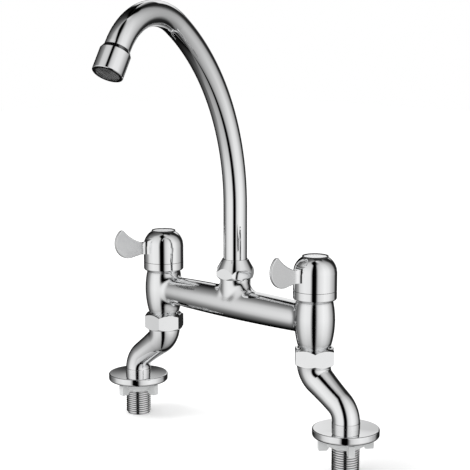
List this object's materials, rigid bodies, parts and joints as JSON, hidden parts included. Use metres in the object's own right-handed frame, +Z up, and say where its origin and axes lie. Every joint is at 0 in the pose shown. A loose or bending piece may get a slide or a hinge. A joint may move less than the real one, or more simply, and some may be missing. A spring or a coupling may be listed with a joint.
{
  "type": "kitchen mixer tap",
  "caption": "Deck-mounted two-handle bridge mixer tap with a swivelling gooseneck spout, fish-tail levers and cranked union legs.",
  "frame": {"origin": "on the deck plane under the flanges, midway between the two valve barrels and below the spout's axis", "axes": "+Z up, -Y towards the user, -X the hot side, +X the cold side"},
  "size_m": [0.2773, 0.1906, 0.3489],
  "materials": {
    "chrome_brass": "bright chrome plate on brass",
    "chrome_zinc": "bright chrome plate on cast metal",
    "index_cap": "plain bright disc",
    "brass": "machined",
    "threaded_brass": "plated thread",
    "stainless": "plain",
    "ceramic": "lapped ceramic",
    "rubber": "matt",
    "acetal": "moulded",
    "backnut_plastic": "moulded"
  },
  "bodies": {
    "bridge": {"bridge_body": "chrome_brass", "spout_nut": "chrome_brass", "spout_slip_ring": "acetal", "hot_cartridge_body": "brass", "hot_fixed_disc": "ceramic", "hot_seat_seal": "rubber", "hot_shroud_ring": "chrome_brass", "hot_bonnet_o_ring": "rubber", "hot_union_ring": "stainless", "hot_union_washer": "rubber", "hot_union_nut": "chrome_brass", "cold_cartridge_body": "brass", "cold_fixed_disc": "ceramic", "cold_seat_seal": "rubber", "cold_shroud_ring": "chrome_brass", "cold_bonnet_o_ring": "rubber", "cold_union_ring": "stainless", "cold_union_washer": "rubber", "cold_union_nut": "chrome_brass"},
    "spout": {"spout_tube": "chrome_brass", "spout_bush": "brass", "spout_o_rings": "rubber", "aerator_housing": "chrome_brass", "spout_tip_sleeve": "chrome_brass", "aerator_washer": "rubber", "aerator_insert": "acetal", "aerator_screen": "stainless"},
    "hot_control": {"hot_handle": "chrome_zinc", "hot_index_cap": "index_cap", "hot_handle_screw": "stainless", "hot_spindle": "brass", "hot_moving_disc": "ceramic", "hot_spindle_circlip": "stainless", "hot_spindle_o_ring": "rubber"},
    "hot_foot": {"hot_leg": "chrome_brass", "hot_tail": "threaded_brass", "hot_flange": "chrome_brass", "hot_flange_gasket": "rubber"},
    "hot_clamp": {"hot_clamp_washer": "backnut_plastic"},
    "hot_backnut": {"hot_wing_nut": "backnut_plastic"},
    "cold_control": {"cold_handle": "chrome_zinc", "cold_index_cap": "index_cap", "cold_handle_screw": "stainless", "cold_spindle": "brass", "cold_moving_disc": "ceramic", "cold_spindle_circlip": "stainless", "cold_spindle_o_ring": "rubber"},
    "cold_foot": {"cold_leg": "chrome_brass", "cold_tail": "threaded_brass", "cold_flange": "chrome_brass", "cold_flange_gasket": "rubber"},
    "cold_clamp": {"cold_clamp_washer": "backnut_plastic"},
    "cold_backnut": {"cold_wing_nut": "backnut_plastic"}
  },
  "joints": [
    {"name": "spout_swivel", "type": "hinge", "parent": "bridge", "child": "spout", "pos_m": [0, 0, 0.1], "axis": [0, 0, 1], "continuous": true},
    {"name": "hot_lever_turn", "type": "hinge", "parent": "bridge", "child": "hot_control", "pos_m": [-0.0836, 0, 0.1], "axis": [0, 0, 1], "range_deg": [-90, 0]},
    {"name": "hot_leg_swivel", "type": "hinge", "parent": "bridge", "child": "hot_foot", "pos_m": [-0.0836, 0, 0.05], "axis": [0, 0, 1], "continuous": true},
    {"name": "hot_clamp_slide", "type": "slide", "parent": "hot_foot", "child": "hot_clamp", "axis": [0, 0, -1], "range_m": [0, 0.01995]},
    {"name": "hot_backnut_turn", "type": "hinge", "parent": "hot_clamp", "child": "hot_backnut", "pos_m": [-0.11342, -0.00329, -0.005], "axis": [0, 0, -1], "range_deg": [0, 3960]},
    {"name": "cold_lever_turn", "type": "hinge", "parent": "bridge", "child": "cold_control", "pos_m": [0.0836, 0, 0.1], "axis": [0, 0, 1], "range_deg": [0, 90]},
    {"name": "cold_leg_swivel", "type": "hinge", "parent": "bridge", "child": "cold_foot", "pos_m": [0.0836, 0, 0.05], "axis": [0, 0, 1], "continuous": true},
    {"name": "cold_clamp_slide", "type": "slide", "parent": "cold_foot", "child": "cold_clamp", "axis": [0, 0, -1], "range_m": [0, 0.01995]},
    {"name": "cold_backnut_turn", "type": "hinge", "parent": "cold_clamp", "child": "cold_backnut", "pos_m": [0.11352, 0.0022, -0.005], "axis": [0, 0, -1], "range_deg": [0, 3960]}
  ],
  "couplings": [
    {"joint": "hot_backnut_turn", "follows": "hot_clamp_slide", "rad_per_m": 3463.7},
    {"joint": "cold_backnut_turn", "follows": "cold_clamp_slide", "rad_per_m": 3463.7}
  ]
}
